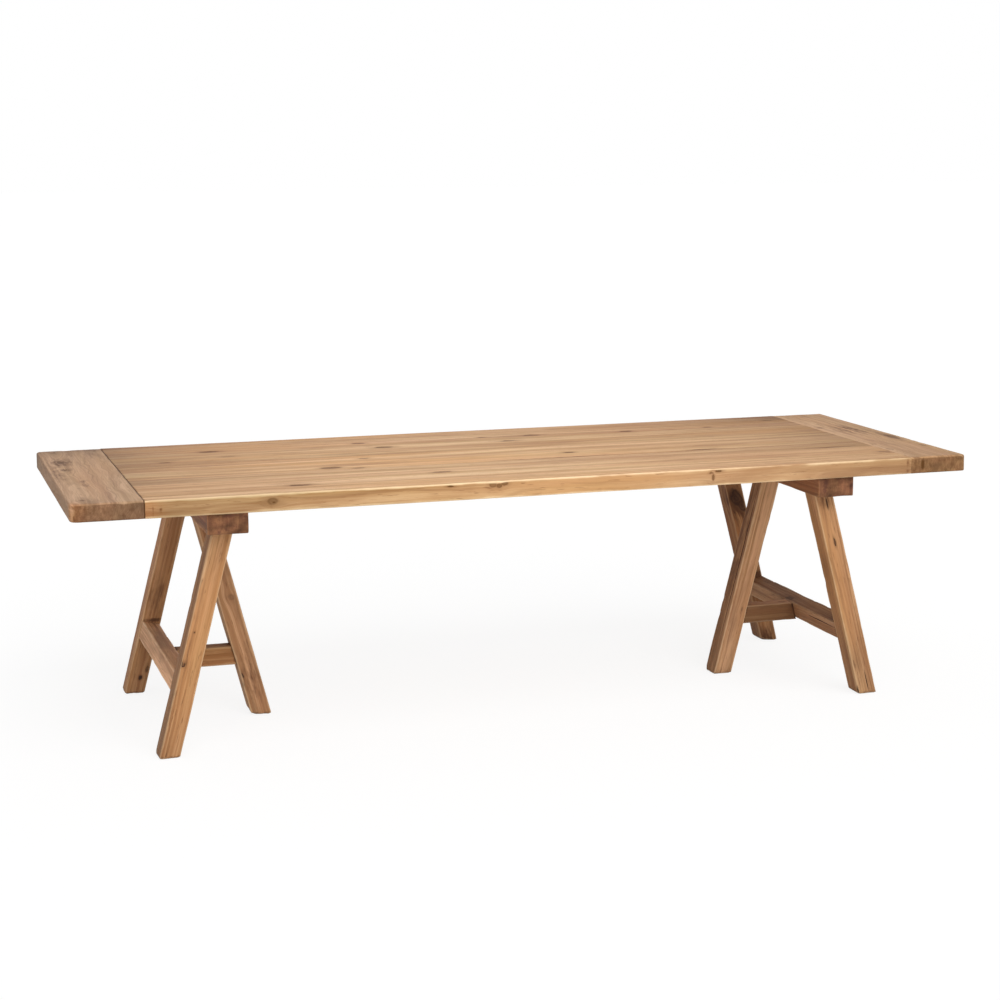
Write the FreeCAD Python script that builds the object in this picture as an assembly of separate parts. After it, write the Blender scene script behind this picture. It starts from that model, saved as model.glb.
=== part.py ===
import FreeCAD, Part
import math
import os

from FreeCAD import Placement, Rotation, Vector

# Trestle table in reclaimed pine. A heavy top with end boards set across the grain
# lies on two rigid three-legged trestles and lifts off them.
# Frame: X along the table, Y from front to back, Z up, origin on the floor under
# the middle of the top. Millimetres.

# The top
TABLE_HEIGHT = 760.0
TOP_LENGTH = 2700.0
TOP_WIDTH = 1000.0
TOP_THICKNESS = 50.0
FRONT_BOARD_WIDTHS = (250.0, 95.0)
BACK_BOARD_WIDTHS = (180.0, 125.0, 115.0)
LEFT_END_WIDTH = 200.0
RIGHT_END_WIDTH = 185.0
CORNER_RADIUS = 20.0
TOP_ARRIS = 7.0
UNDER_CHAMFER = 4.0
BOARD_EASE = 0.8

# Joints inside the top
TONGUE_THICKNESS = 16.0
TONGUE_LENGTH = 45.0
TONGUE_INSET = 45.0
END_GAP = 0.8
SPLINE_THICKNESS = 12.0
SPLINE_WIDTH = 36.0
SPLINE_SETBACK = 60.0
END_PEG_DIAMETER = 12.0
END_PEG_COVER = 12.0
END_PEG_RECESS = 0.5
PEG_SLOT_TRAVEL = 6.0
BOARDS_PER_PEG = 2

# The trestles
TRESTLE_INSET = 428.0
BEAM_WIDTH = 115.0
BEAM_HEIGHT = 60.0
BEAM_SETBACK = 17.0
BEAM_ARRIS = 3.0
LEG_WIDTH = 60.0
LEG_DEPTH = 72.0
LEG_ARRIS = 5.0
LEG_INSET = 120.0
OUTER_SPREAD = 170.0
INNER_SPREAD = 165.0
FOOT_EASE = 3.0

# Wedged tenons of the legs, through the beam
LEG_TENON_WIDTH = 34.0
LEG_TENON_DEPTH = 46.0
TENON_RECESS = 1.0
WEDGE_LENGTH = 42.0
WEDGE_HEAD = 7.0
WEDGE_TIP = 2.0

# Stretchers, which make a T between the three legs
CROSS_WIDTH = 56.0
CROSS_DEPTH = 56.0
CROSS_CENTRE = 200.0
MIDDLE_WIDTH = 55.0
MIDDLE_DEPTH = 58.0
MIDDLE_DROP = 10.0
STRETCHER_ARRIS = 4.0
STRETCHER_TENON_THICKNESS = 20.0
STRETCHER_TENON_DEPTH = 28.0
STRETCHER_TENON_LENGTH = 24.0

# Dowels that stand up out of the beams and locate the top
DOWEL_DIAMETER = 20.0
DOWEL_SEAT = 36.0
DOWEL_STANDING = 15.0
DOWEL_TIP = 3.0

# Clearances
JOINT_GAP = 0.1
BLIND_GAP = 2.0
DOWEL_PLAY = 0.5

# Sizes worked out from those above
FILLING_BOARD_WIDTH = TOP_WIDTH - sum(FRONT_BOARD_WIDTHS) - sum(BACK_BOARD_WIDTHS)
BOARD_WIDTHS = (*FRONT_BOARD_WIDTHS, FILLING_BOARD_WIDTH, *BACK_BOARD_WIDTHS)
TOP_UNDER = TABLE_HEIGHT - TOP_THICKNESS
TOP_MIDDLE = TABLE_HEIGHT - TOP_THICKNESS / 2
LEFT_JOINT = LEFT_END_WIDTH - TOP_LENGTH / 2
RIGHT_JOINT = TOP_LENGTH / 2 - RIGHT_END_WIDTH
TRESTLE_SPACING = TOP_LENGTH - 2 * TRESTLE_INSET
BEAM_LENGTH = TOP_WIDTH - 2 * BEAM_SETBACK
BEAM_UNDER = TOP_UNDER - BEAM_HEIGHT
LEG_SPACING = BEAM_LENGTH - 2 * LEG_INSET
OUTER_LEAN = math.atan2(OUTER_SPREAD, BEAM_UNDER)
INNER_LEAN = math.atan2(INNER_SPREAD, BEAM_UNDER)
CLEAR_SPAN = LEG_SPACING - LEG_DEPTH
FAR = TOP_LENGTH + TOP_WIDTH
OVERCUT = 1.0
TOLERANCE = 0.01

# Turns of a profile drawn in X and Y and drawn out along Z
ALONG_X = Rotation(Vector(1, 1, 1), 120)
ALONG_Y = Rotation(Vector(1, 1, 1), 240)
UPRIGHT = Rotation()


def rounded_rectangle(low, high, radii):
    """Face between two corners in X and Y; one radius per corner, anticlockwise from the low one."""
    outline = [low, (high[0], low[1]), high, (low[0], high[1])]
    corners = [Vector(x, y) for x, y in outline]
    ways = [(corners[(k + 1) % 4] - corners[k]).normalize() for k in range(4)]
    starts = [corners[k] - ways[k - 1] * radii[k] for k in range(4)]
    ends = [corners[k] + ways[k] * radii[k] for k in range(4)]
    edges = []
    for k in range(4):
        if radii[k] > 0:
            bulge = starts[k] + ways[k] * radii[k] + (ways[k - 1] - ways[k]) * (radii[k] * math.sqrt(0.5))
            edges.append(Part.Arc(starts[k], bulge, ends[k]).toShape())
        following = starts[(k + 1) % 4]
        if following.distanceToPoint(ends[k]) > TOLERANCE:
            edges.append(Part.LineSegment(ends[k], following).toShape())
    return Part.Face(Part.Wire(edges))


def bar(width, depth, start, end, turn=UPRIGHT, arris=0.0):
    """Straight bar on the profile's own Z axis, with its four long edges rounded."""
    face = rounded_rectangle((-width / 2, -depth / 2), (width / 2, depth / 2), [arris] * 4)
    face.translate(Vector(0, 0, start))
    solid = face.extrude(Vector(0, 0, end - start))
    solid.Placement = Placement(Vector(), turn).multiply(solid.Placement)
    return solid


def slab(low, high):
    """Everything between two heights."""
    return Part.makeBox(2 * FAR, 2 * FAR, high - low, Vector(-FAR, -FAR, low))


def block(x_range, y_range, z_range):
    """Box between two values on each axis."""
    low = Vector(x_range[0], y_range[0], z_range[0])
    return Part.makeBox(x_range[1] - x_range[0], y_range[1] - y_range[0], z_range[1] - z_range[0], low)


def placed(solid, frame):
    """Copy of a solid that was drawn in a leg's own frame."""
    moved = solid.copy()
    moved.Placement = frame.multiply(moved.Placement)
    return moved


def one_solid(shape):
    """Shape with its split faces joined again."""
    return shape.removeSplitter()


def save(name, shape):
    """Write one piece, or one group of like pieces."""
    shape.exportStep("parts/" + name + ".step")


# Boards of the top, from front to back: each spans from its front edge to its back edge
def board_edges():
    """Front and back edge of every board."""
    edges = []
    front = -TOP_WIDTH / 2
    for width in BOARD_WIDTHS:
        edges.append((front, front + width))
        front += width
    return edges


def tongue_range(front, back):
    """Stretch of a board's end that carries the tongue, which stops short of the top's edges."""
    limit = TOP_WIDTH / 2 - TONGUE_INSET
    return max(front, -limit), min(back, limit)


def peg_places(side):
    """X and Y of the pegs at one end, in the middle of every board that gets one."""
    pegged = board_edges()[::BOARDS_PER_PEG]
    joint = LEFT_JOINT if side < 0 else RIGHT_JOINT
    x = joint + side * (TONGUE_LENGTH - END_GAP) / 2
    return [Vector(x, sum(tongue_range(*edges)) / 2, 0) for edges in pegged]


def dowel_places(side):
    """X and Y of a trestle's two dowels, each half-way between two leg mortises."""
    x = side * TRESTLE_SPACING / 2
    return [Vector(x, -LEG_SPACING / 4, 0), Vector(x, LEG_SPACING / 4, 0)]


def dowel_holes():
    """Blind holes in the underside of the top for the dowels of both trestles."""
    radius = DOWEL_DIAMETER / 2 + DOWEL_PLAY
    high = TOP_UNDER + DOWEL_STANDING + BLIND_GAP
    places = dowel_places(-1) + dowel_places(1)
    return [post(place, radius, TOP_UNDER - OVERCUT, high) for place in places]


def post(place, radius, low, high):
    """Upright round bar or hole between two heights."""
    return Part.makeCylinder(radius, high - low, Vector(place.x, place.y, low))


def peg_slot(place):
    """Slot through a tongue: as wide as the peg, longer across the boards so that they can swell."""
    radius = END_PEG_DIAMETER / 2 + JOINT_GAP
    face = rounded_rectangle(
        (place.x - radius, place.y - radius - PEG_SLOT_TRAVEL / 2),
        (place.x + radius, place.y + radius + PEG_SLOT_TRAVEL / 2),
        [radius] * 4,
    )
    face.translate(Vector(0, 0, TOP_MIDDLE - TONGUE_THICKNESS))
    return face.extrude(Vector(0, 0, 2 * TONGUE_THICKNESS))


def spline_at(edge, gap, blind):
    """Loose tongue on the joint between two boards, or its groove when the gaps are given."""
    return block(
        (LEFT_JOINT + SPLINE_SETBACK - blind, RIGHT_JOINT - SPLINE_SETBACK + blind),
        (edge - SPLINE_WIDTH / 2 - blind, edge + SPLINE_WIDTH / 2 + blind),
        (TOP_MIDDLE - SPLINE_THICKNESS / 2 - gap, TOP_MIDDLE + SPLINE_THICKNESS / 2 + gap),
    )


def top_board(index):
    """One board: rounded and chamfered at the top's edges, eased at the joints, tongued at both ends."""
    front, back = board_edges()[index]
    inner_edges = [edge for edge in (front, back) if abs(edge) < TOP_WIDTH / 2 - TOLERANCE]
    front_radii = (BOARD_EASE, BOARD_EASE) if front in inner_edges else (0.0, TOP_ARRIS)
    back_radii = (BOARD_EASE, BOARD_EASE) if back in inner_edges else (0.0, TOP_ARRIS)
    radii = [front_radii[0], back_radii[0], back_radii[1], front_radii[1]]
    face = rounded_rectangle((front, TOP_UNDER), (back, TABLE_HEIGHT), radii)
    shoulder = LEFT_JOINT + END_GAP
    face.translate(Vector(0, 0, shoulder))
    board = face.extrude(Vector(0, 0, RIGHT_JOINT - END_GAP - shoulder))
    board.Placement = Placement(Vector(), ALONG_X).multiply(board.Placement)
    for edge in board.Edges:
        middle = edge.CenterOfMass
        outside = abs(abs(middle.y) - TOP_WIDTH / 2) < TOLERANCE
        if outside and abs(middle.z - TOP_UNDER) < TOLERANCE:
            board = board.makeChamfer(UNDER_CHAMFER, [edge])
    tongue = block(
        (LEFT_JOINT - TONGUE_LENGTH, RIGHT_JOINT + TONGUE_LENGTH),
        tongue_range(front, back),
        (TOP_MIDDLE - TONGUE_THICKNESS / 2, TOP_MIDDLE + TONGUE_THICKNESS / 2),
    )
    board = one_solid(board.fuse(tongue))
    pegs = peg_places(-1) + peg_places(1)
    cuts = [peg_slot(place) for place in pegs if front < place.y < back]
    cuts += [spline_at(edge, JOINT_GAP, BLIND_GAP) for edge in inner_edges]
    return board.cut(Part.makeCompound(cuts + dowel_holes()))


def end_board(side):
    """Board set across one end: grooved for the tongues, bored for the pegs, rounded at its outer edges."""
    joint = LEFT_JOINT if side < 0 else RIGHT_JOINT
    tip = side * TOP_LENGTH / 2
    radii = [0.0, CORNER_RADIUS, CORNER_RADIUS, 0.0]
    if side < 0:
        radii = [CORNER_RADIUS, 0.0, 0.0, CORNER_RADIUS]
    low = (min(joint, tip), -TOP_WIDTH / 2)
    high = (max(joint, tip), TOP_WIDTH / 2)
    face = rounded_rectangle(low, high, radii)
    face.translate(Vector(0, 0, TOP_UNDER))
    board = face.extrude(Vector(0, 0, TOP_THICKNESS))

    def rim(height, at_joint):
        """Edges of the outline at one height, at the joint or all the others."""
        found = []
        for edge in board.Edges:
            box = edge.BoundBox
            level = abs(box.ZMin - height) < TOLERANCE and abs(box.ZMax - height) < TOLERANCE
            inner = abs(box.XMin - joint) < TOLERANCE and abs(box.XMax - joint) < TOLERANCE
            if level and inner == at_joint:
                found.append(edge)
        return found

    board = board.makeFillet(TOP_ARRIS, rim(TABLE_HEIGHT, False))
    board = board.makeChamfer(UNDER_CHAMFER, rim(TOP_UNDER, False))
    board = board.makeChamfer(BOARD_EASE, rim(TABLE_HEIGHT, True) + rim(TOP_UNDER, True))
    groove_reach = joint + side * (TONGUE_LENGTH + BLIND_GAP)
    groove = block(
        sorted((joint - side * OVERCUT, groove_reach)),
        (TONGUE_INSET - TOP_WIDTH / 2 - BLIND_GAP, TOP_WIDTH / 2 - TONGUE_INSET + BLIND_GAP),
        (TOP_MIDDLE - TONGUE_THICKNESS / 2 - JOINT_GAP, TOP_MIDDLE + TONGUE_THICKNESS / 2 + JOINT_GAP),
    )
    cuts = [groove]
    peg_hole = END_PEG_DIAMETER / 2 + JOINT_GAP
    for place in peg_places(side):
        cuts.append(post(place, peg_hole, TOP_UNDER - OVERCUT, TABLE_HEIGHT - END_PEG_COVER))
    return board.cut(Part.makeCompound(cuts + dowel_holes()))


def end_pegs(side):
    """Wooden pegs, driven from below through one end board and the tongues in its groove."""
    low = TOP_UNDER + END_PEG_RECESS
    high = TABLE_HEIGHT - END_PEG_COVER - BLIND_GAP
    radius = END_PEG_DIAMETER / 2
    return Part.makeCompound([post(place, radius, low, high) for place in peg_places(side)])


# Trestles. Side is -1 for the left one and 1 for the right one; the two outer legs
# stand towards the end of the table and the single inner leg towards its middle.
def leg_frame(side, y, lean):
    """Frame of a leg: origin on the beam's underside, Z up along the leg. Lean is positive outwards."""
    origin = Vector(side * TRESTLE_SPACING / 2, y, BEAM_UNDER)
    return Placement(origin, Rotation(Vector(0, 1, 0), math.degrees(-side * lean)))


def leg_tenon(gap):
    """Tenon in the leg's own frame, long enough to be trimmed at both ends, or its mortise."""
    return bar(LEG_TENON_WIDTH + 2 * gap, LEG_TENON_DEPTH + 2 * gap, -LEG_WIDTH, BEAM_HEIGHT + LEG_WIDTH)


def wedge(gap, blind):
    """Wedge in the leg's own frame: thin at the tip, widening upwards, across the tenon."""
    taper = (WEDGE_HEAD - WEDGE_TIP) / WEDGE_LENGTH / 2
    tip_z = BEAM_HEIGHT - WEDGE_LENGTH - blind
    head_z = BEAM_HEIGHT + LEG_TENON_WIDTH
    tip_half = WEDGE_TIP / 2 + gap - taper * blind
    head_half = tip_half + taper * (head_z - tip_z)
    points = [(-tip_half, tip_z), (tip_half, tip_z), (head_half, head_z), (-head_half, head_z)]
    corners = [Vector(-LEG_TENON_WIDTH / 2, y, z) for y, z in points]
    face = Part.Face(Part.makePolygon(corners + corners[:1]))
    return face.extrude(Vector(LEG_TENON_WIDTH, 0, 0))


def cross_bar(width, depth, length, arris=0.0):
    """Bar across the outer legs, in the outer legs' frame at the middle of the trestle."""
    along = (CROSS_CENTRE - BEAM_UNDER) / math.cos(OUTER_LEAN)
    solid = bar(depth, width, -length / 2, length / 2, ALONG_Y, arris)
    solid.translate(Vector(0, 0, along))
    return solid


def middle_bar(side, width, depth, height, reach, arris=0.0):
    """Level bar from the cross stretcher to the inner leg, past both faces by its reach."""
    x = side * TRESTLE_SPACING / 2
    spread = OUTER_SPREAD + INNER_SPREAD
    solid = bar(width, depth, x - spread, x + spread, ALONG_X, arris)
    solid.translate(Vector(0, 0, height))
    outer_face = side * (reach - CROSS_WIDTH / 2)
    inner_face = side * (LEG_WIDTH / 2 - reach)
    beyond = [sorted((outer_face, outer_face + side * FAR)), sorted((inner_face, inner_face - side * FAR))]
    frames = [leg_frame(side, 0, OUTER_LEAN), leg_frame(side, 0, -INNER_LEAN)]
    for x_range, frame in zip(beyond, frames):
        solid = solid.cut(placed(block(x_range, (-FAR, FAR), (-FAR, FAR)), frame))
    return solid


def middle_tenon(side, gap, blind):
    """Tenons of the middle stretcher, at the middle of the face that the cross stretcher turns to it."""
    height = CROSS_CENTRE - math.sin(OUTER_LEAN) * CROSS_WIDTH / 2
    width = STRETCHER_TENON_THICKNESS + 2 * gap
    return middle_bar(side, width, STRETCHER_TENON_DEPTH + 2 * gap, height, STRETCHER_TENON_LENGTH + blind)


def leg(side, y, lean, mortise):
    """Splayed leg: level at the floor and under the beam, tenoned through it, mortised for a stretcher."""
    frame = leg_frame(side, y, lean)
    length = BEAM_UNDER / math.cos(lean)
    blank = placed(bar(LEG_WIDTH, LEG_DEPTH, -length - LEG_WIDTH, LEG_WIDTH, UPRIGHT, LEG_ARRIS), frame)
    body = blank.common(slab(0, BEAM_UNDER))
    sole = min(body.Faces, key=lambda face: face.CenterOfMass.z)
    body = body.makeChamfer(FOOT_EASE, sole.Edges)
    tenon = placed(leg_tenon(0), frame).common(slab(BEAM_UNDER - LEG_TENON_WIDTH, TOP_UNDER - TENON_RECESS))
    solid = one_solid(body.fuse(tenon))
    return solid.cut(placed(wedge(JOINT_GAP, BLIND_GAP), frame)).cut(mortise)


def beam(side, frames):
    """Beam across the trestle: mortised right through for the legs and bored for the dowels."""
    solid = bar(BEAM_HEIGHT, BEAM_WIDTH, -BEAM_LENGTH / 2, BEAM_LENGTH / 2, ALONG_Y, BEAM_ARRIS)
    ends = sorted(solid.Faces, key=lambda face: abs(face.CenterOfMass.y))[-2:]
    solid = solid.makeChamfer(BEAM_ARRIS / 2, ends[0].Edges + ends[1].Edges)
    solid.translate(Vector(side * TRESTLE_SPACING / 2, 0, TOP_UNDER - BEAM_HEIGHT / 2))
    cuts = [placed(leg_tenon(JOINT_GAP), frame) for frame in frames]
    for place in dowel_places(side):
        cuts.append(post(place, DOWEL_DIAMETER / 2 + JOINT_GAP, TOP_UNDER - DOWEL_SEAT, TOP_UNDER + OVERCUT))
    return solid.cut(Part.makeCompound(cuts))


def leg_wedges(frames):
    """Wedges in the tenons, pared off with them just under the beam's upper face."""
    below = slab(0, TOP_UNDER - TENON_RECESS)
    return Part.makeCompound([placed(wedge(0, 0), frame).common(below) for frame in frames])


def cross_stretcher(side):
    """Stretcher between the outer legs, square to their lean, tenoned into both."""
    tenon_length = CLEAR_SPAN + 2 * STRETCHER_TENON_LENGTH
    body = cross_bar(CROSS_WIDTH, CROSS_DEPTH, CLEAR_SPAN, STRETCHER_ARRIS)
    tenons = cross_bar(STRETCHER_TENON_THICKNESS, STRETCHER_TENON_DEPTH, tenon_length)
    solid = placed(one_solid(body.fuse(tenons)), leg_frame(side, 0, OUTER_LEAN))
    return solid.cut(middle_tenon(side, JOINT_GAP, BLIND_GAP))


def middle_stretcher(side):
    """Stretcher from the cross stretcher to the inner leg, with both shoulders cut to the leans."""
    body = middle_bar(side, MIDDLE_WIDTH, MIDDLE_DEPTH, CROSS_CENTRE - MIDDLE_DROP, 0, STRETCHER_ARRIS)
    return one_solid(body.fuse(middle_tenon(side, 0, 0)))


def dowels(side):
    """Two dowels with chamfered tips."""
    made = []
    for place in dowel_places(side):
        dowel = post(place, DOWEL_DIAMETER / 2, TOP_UNDER - DOWEL_SEAT, TOP_UNDER + DOWEL_STANDING)
        tip = max(dowel.Faces, key=lambda face: face.CenterOfMass.z)
        made.append(dowel.makeChamfer(DOWEL_TIP, tip.Edges))
    return Part.makeCompound(made)


def save_trestle(name, side):
    """All the pieces of one trestle."""
    outer_mortise = placed(
        cross_bar(
            STRETCHER_TENON_THICKNESS + 2 * JOINT_GAP,
            STRETCHER_TENON_DEPTH + 2 * JOINT_GAP,
            CLEAR_SPAN + 2 * (STRETCHER_TENON_LENGTH + BLIND_GAP),
        ),
        leg_frame(side, 0, OUTER_LEAN),
    )
    inner_mortise = middle_tenon(side, JOINT_GAP, BLIND_GAP)
    legs = {
        "front_leg": (-LEG_SPACING / 2, OUTER_LEAN, outer_mortise),
        "back_leg": (LEG_SPACING / 2, OUTER_LEAN, outer_mortise),
        "inner_leg": (0.0, -INNER_LEAN, inner_mortise),
    }
    frames = [leg_frame(side, y, lean) for y, lean, mortise in legs.values()]
    for piece, (y, lean, mortise) in legs.items():
        save(name + "_" + piece, leg(side, y, lean, mortise))
    save(name + "_beam", beam(side, frames))
    save(name + "_leg_wedges", leg_wedges(frames))
    save(name + "_cross_stretcher", cross_stretcher(side))
    save(name + "_middle_stretcher", middle_stretcher(side))
    save(name + "_locating_dowels", dowels(side))


os.makedirs("parts", exist_ok=True)
for index in range(len(BOARD_WIDTHS)):
    save("top_board_" + str(index + 1), top_board(index))
for index, (front, back) in enumerate(board_edges()[:-1]):
    save("top_spline_" + str(index + 1), spline_at(back, 0, 0).cut(Part.makeCompound(dowel_holes())))
for name, side in (("left", -1), ("right", 1)):
    save(name + "_end_board", end_board(side))
    save(name + "_end_pegs", end_pegs(side))
    save_trestle(name, side)
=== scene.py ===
import math

import bpy
import numpy as np
from mathutils import Matrix, Vector


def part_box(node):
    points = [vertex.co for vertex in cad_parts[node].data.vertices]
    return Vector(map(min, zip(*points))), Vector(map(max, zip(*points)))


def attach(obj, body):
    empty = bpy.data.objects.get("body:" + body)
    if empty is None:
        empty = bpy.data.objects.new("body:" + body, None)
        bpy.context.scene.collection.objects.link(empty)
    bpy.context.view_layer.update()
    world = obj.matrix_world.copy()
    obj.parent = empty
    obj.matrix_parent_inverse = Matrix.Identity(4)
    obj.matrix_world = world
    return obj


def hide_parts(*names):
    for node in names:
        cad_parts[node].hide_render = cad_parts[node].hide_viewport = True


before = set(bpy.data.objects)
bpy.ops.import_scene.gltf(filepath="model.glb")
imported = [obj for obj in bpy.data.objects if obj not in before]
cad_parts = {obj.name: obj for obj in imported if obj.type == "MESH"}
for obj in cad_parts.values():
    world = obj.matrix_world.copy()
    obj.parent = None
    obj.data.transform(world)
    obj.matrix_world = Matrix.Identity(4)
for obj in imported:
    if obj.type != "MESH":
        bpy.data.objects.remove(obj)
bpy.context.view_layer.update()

# Legs. Six squared pine legs with worn arrises and level feet, three to a trestle: the two outer legs stand
# out towards the end of the table and the inner leg towards its middle. Each is tenoned up through its beam.
LEG_WIDTH = 0.060
LEG_DEPTH = 0.072
LEG_HEIGHT = 0.650
LEG_ARRIS = 0.0045
LEG_STEPS = (0.005, 0.005, 0.008)
FOOT_ARRIS = 0.009
FOOT_CROWD = FOOT_ARRIS * 1.2
WORN_FEET = {"left_inner_leg": 0.018, "right_back_leg": 0.020}
SHOULDER_EASE = 0.0005
LEG_TENON = (0.034, 0.046)
TENON_ROOT = 0.010
TENON_TOP = 0.709
TENON_STEPS = (0.008, 0.008, 0.020)
TRESTLE_X = 0.922
LEG_Y = 0.363
OUTER_SPREAD = 0.170
INNER_SPREAD = 0.165
SIDES = {"left": -1, "right": 1}
LEGS = {
    "front_leg": (-LEG_Y, OUTER_SPREAD),
    "back_leg": (LEG_Y, OUTER_SPREAD),
    "inner_leg": (0.0, -INNER_SPREAD),
}
X, Y, Z = range(3)

# places of grid lines: in a crowded band, and over marks and pockets in units of their half sizes
CROWDED = np.array([0.0, 0.12, 0.3, 0.6, 1.0, 1.5])
CLOSEST = 0.0001
GRID_DECIMALS = 6
MARK_LINES = (-1.6, -1.0, -0.6, -0.2, 0.2, 0.6, 1.0, 1.6)
POCKET_WALL = (0.97, 1.0)
POCKET_RIM = 1.5
ROUND_POCKET = (0.0, 0.2, 0.4, 0.6, 0.8, *POCKET_WALL, POCKET_RIM)
TINY = 1e-12


def grid_lines(low, high, step, crowd, extra):
    """Positions from low to high, a step apart, closer in a crowded band at both ends, and extra ones."""
    ease = crowd * CROWDED
    inner_low = low + ease[-1]
    inner_high = high - ease[-1]
    inner = np.linspace(inner_low, inner_high, max(2, round((inner_high - inner_low) / step) + 1))
    wanted = [p for p in extra if inner_low < p < inner_high]
    every = np.unique(np.concatenate([low + ease, inner, high - ease, wanted]))
    return every[np.concatenate([[True], np.diff(every) > CLOSEST])]


def block(xs, ys, zs):
    """Closed surface of a block: six grids on the axes' lines, shared borders merged, facing outwards."""
    axes = (xs, ys, zs)
    points, quads, count = [], [], 0
    for axis in range(3):
        u, v = np.meshgrid(axes[(axis + 1) % 3], axes[(axis + 2) % 3], indexing="ij")
        index = np.arange(u.size).reshape(u.shape)
        corners = [index[:-1, :-1], index[1:, :-1], index[1:, 1:], index[:-1, 1:]]
        for end in (0, -1):
            face = np.empty(u.shape + (3,))
            face[..., axis] = axes[axis][end]
            face[..., (axis + 1) % 3] = u
            face[..., (axis + 2) % 3] = v
            ring = corners[::-1] if end == 0 else corners
            points.append(face.reshape(-1, 3))
            quads.append(np.stack(ring, -1).reshape(-1, 4) + count)
            count += u.size
    whole, place = np.unique(np.round(np.concatenate(points), GRID_DECIMALS), axis=0, return_inverse=True)
    return whole, place.reshape(-1)[np.concatenate(quads)]


def rounded(points, low, high, axes, radius):
    """Round the four edges along the third axis: squares about the core's corners become circles."""
    flat = points[:, axes]
    radius = np.broadcast_to(np.reshape(radius, (-1, 1)), flat.shape)
    core = np.clip(flat, low[list(axes)] + radius, high[list(axes)] - radius)
    out = flat - core
    reach = np.abs(out).max(1, keepdims=True)
    length = np.maximum(np.linalg.norm(out, axis=1, keepdims=True), TINY)
    moved = points.copy()
    moved[:, axes] = core + out / length * reach
    return moved


WAVE_COUNT = 14


def waves(points, lengths, seed):
    """Smooth noise of about 0 to 1: a sum of sines in random directions, of given lengths on the axes."""
    rng = np.random.default_rng(seed)
    directions = rng.normal(size=(WAVE_COUNT, 3)) * 2 * math.pi / np.array(lengths) / math.sqrt(3)
    phases = rng.uniform(0, 2 * math.pi, WAVE_COUNT)
    return 0.5 + 0.25 * np.sin(points @ directions.T + phases).sum(1) / math.sqrt(WAVE_COUNT / 2)


# a mark is a middle (x, y, z), a half size on each axis, and how dark or how deep it is
FAR = 4.0
NARROW_STAIN = 0.012


def nearness(points, marks):
    """Distance to the nearest mark in units of its size, and the strength of that mark."""
    if not len(marks):
        return np.full(len(points), FAR), np.zeros(len(points))
    marks = np.array(marks)
    apart = (points[:, None, :] - marks[None, :, 0:3]) / marks[None, :, 3:6]
    distance = np.linalg.norm(apart, axis=2)
    return np.minimum(distance.min(1), FAR), marks[distance.argmin(1), 6]


def mark_lines(marks, axis):
    """Grid lines that marks need on one axis: through their middles and out past their sizes."""
    return [mark[axis] + mark[axis + 3] * place for mark in marks for place in MARK_LINES]


# a pocket is the axis and the end of its face, its middle and half size there, its depth, and if it is round
def pocket_lines(pockets, axis):
    """Grid lines that pockets need on one axis of their mouths: both walls, and more across a round one."""
    lines = []
    for face_axis, _, middle, half, _, is_round in pockets:
        for k in range(2):
            if axis == (face_axis + 1 + k) % 3:
                wanted = ROUND_POCKET if is_round else POCKET_WALL
                lines += [middle[k] + half[k] * place * sign for place in wanted for sign in (-1, 1)]
    return lines


def sunk(points, box, low, high, pocket):
    """Press a pocket into a face: the grid in its mouth goes down, squares made circles if it is round."""
    axis, end, middle, half, depth, is_round = pocket
    pair = [(axis + 1) % 3, (axis + 2) % 3]
    on_face = box[:, axis] == (low, high)[end][axis].round(GRID_DECIMALS)
    out = (box[:, pair] - middle) / half
    reach = np.abs(out).max(1)
    length = np.maximum(np.linalg.norm(out, axis=1), TINY)
    blend = np.clip((POCKET_RIM - reach) / (POCKET_RIM - 1), 0, 1) * is_round
    scale = 1 + (reach / length - 1) * blend
    moved = points.copy()
    near = on_face & (reach < POCKET_RIM)
    moved[np.ix_(near, pair)] = (np.array(middle) + out * half * scale[:, None])[near]
    moved[on_face & (reach < sum(POCKET_WALL) / 2), axis] -= (-1, 1)[end] * depth
    return moved


def vertex_normals(points, quads):
    """Mean of the face normals round each point, from the diagonals of the quads."""
    across = np.cross(points[quads[:, 2]] - points[quads[:, 0]], points[quads[:, 3]] - points[quads[:, 1]])
    total = np.zeros_like(points)
    for corner in range(4):
        np.add.at(total, quads[:, corner], across)
    return total / np.maximum(np.linalg.norm(total, axis=1, keepdims=True), TINY)


# wear and painted highlight of arrises, hollows of faces, cracks and knots, and what each draw adds to a
# timber's seed
WEAR_AND_HIGHLIGHT_REACH = 0.012
WEAR_AND_HIGHLIGHT_ARRIS = 0.0015
LEAST_RADIUS = 0.0001
WANDER = 0.9
WANDER_LENGTH = 0.16
NICK = 3
NICK_LENGTH = 0.05
NICK_START = 0.78
NICK_DRAW = 3
FACE_HOLLOW = 0.0009
HOLLOW_ACROSS = 0.07
HOLLOW_ALONG = 0.25
HOLLOW_DRAW = 7
CRACK_REACH = 1.2
KNOT_HOLLOW = 0.0006
KNOT_REACH = 1.3


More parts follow.
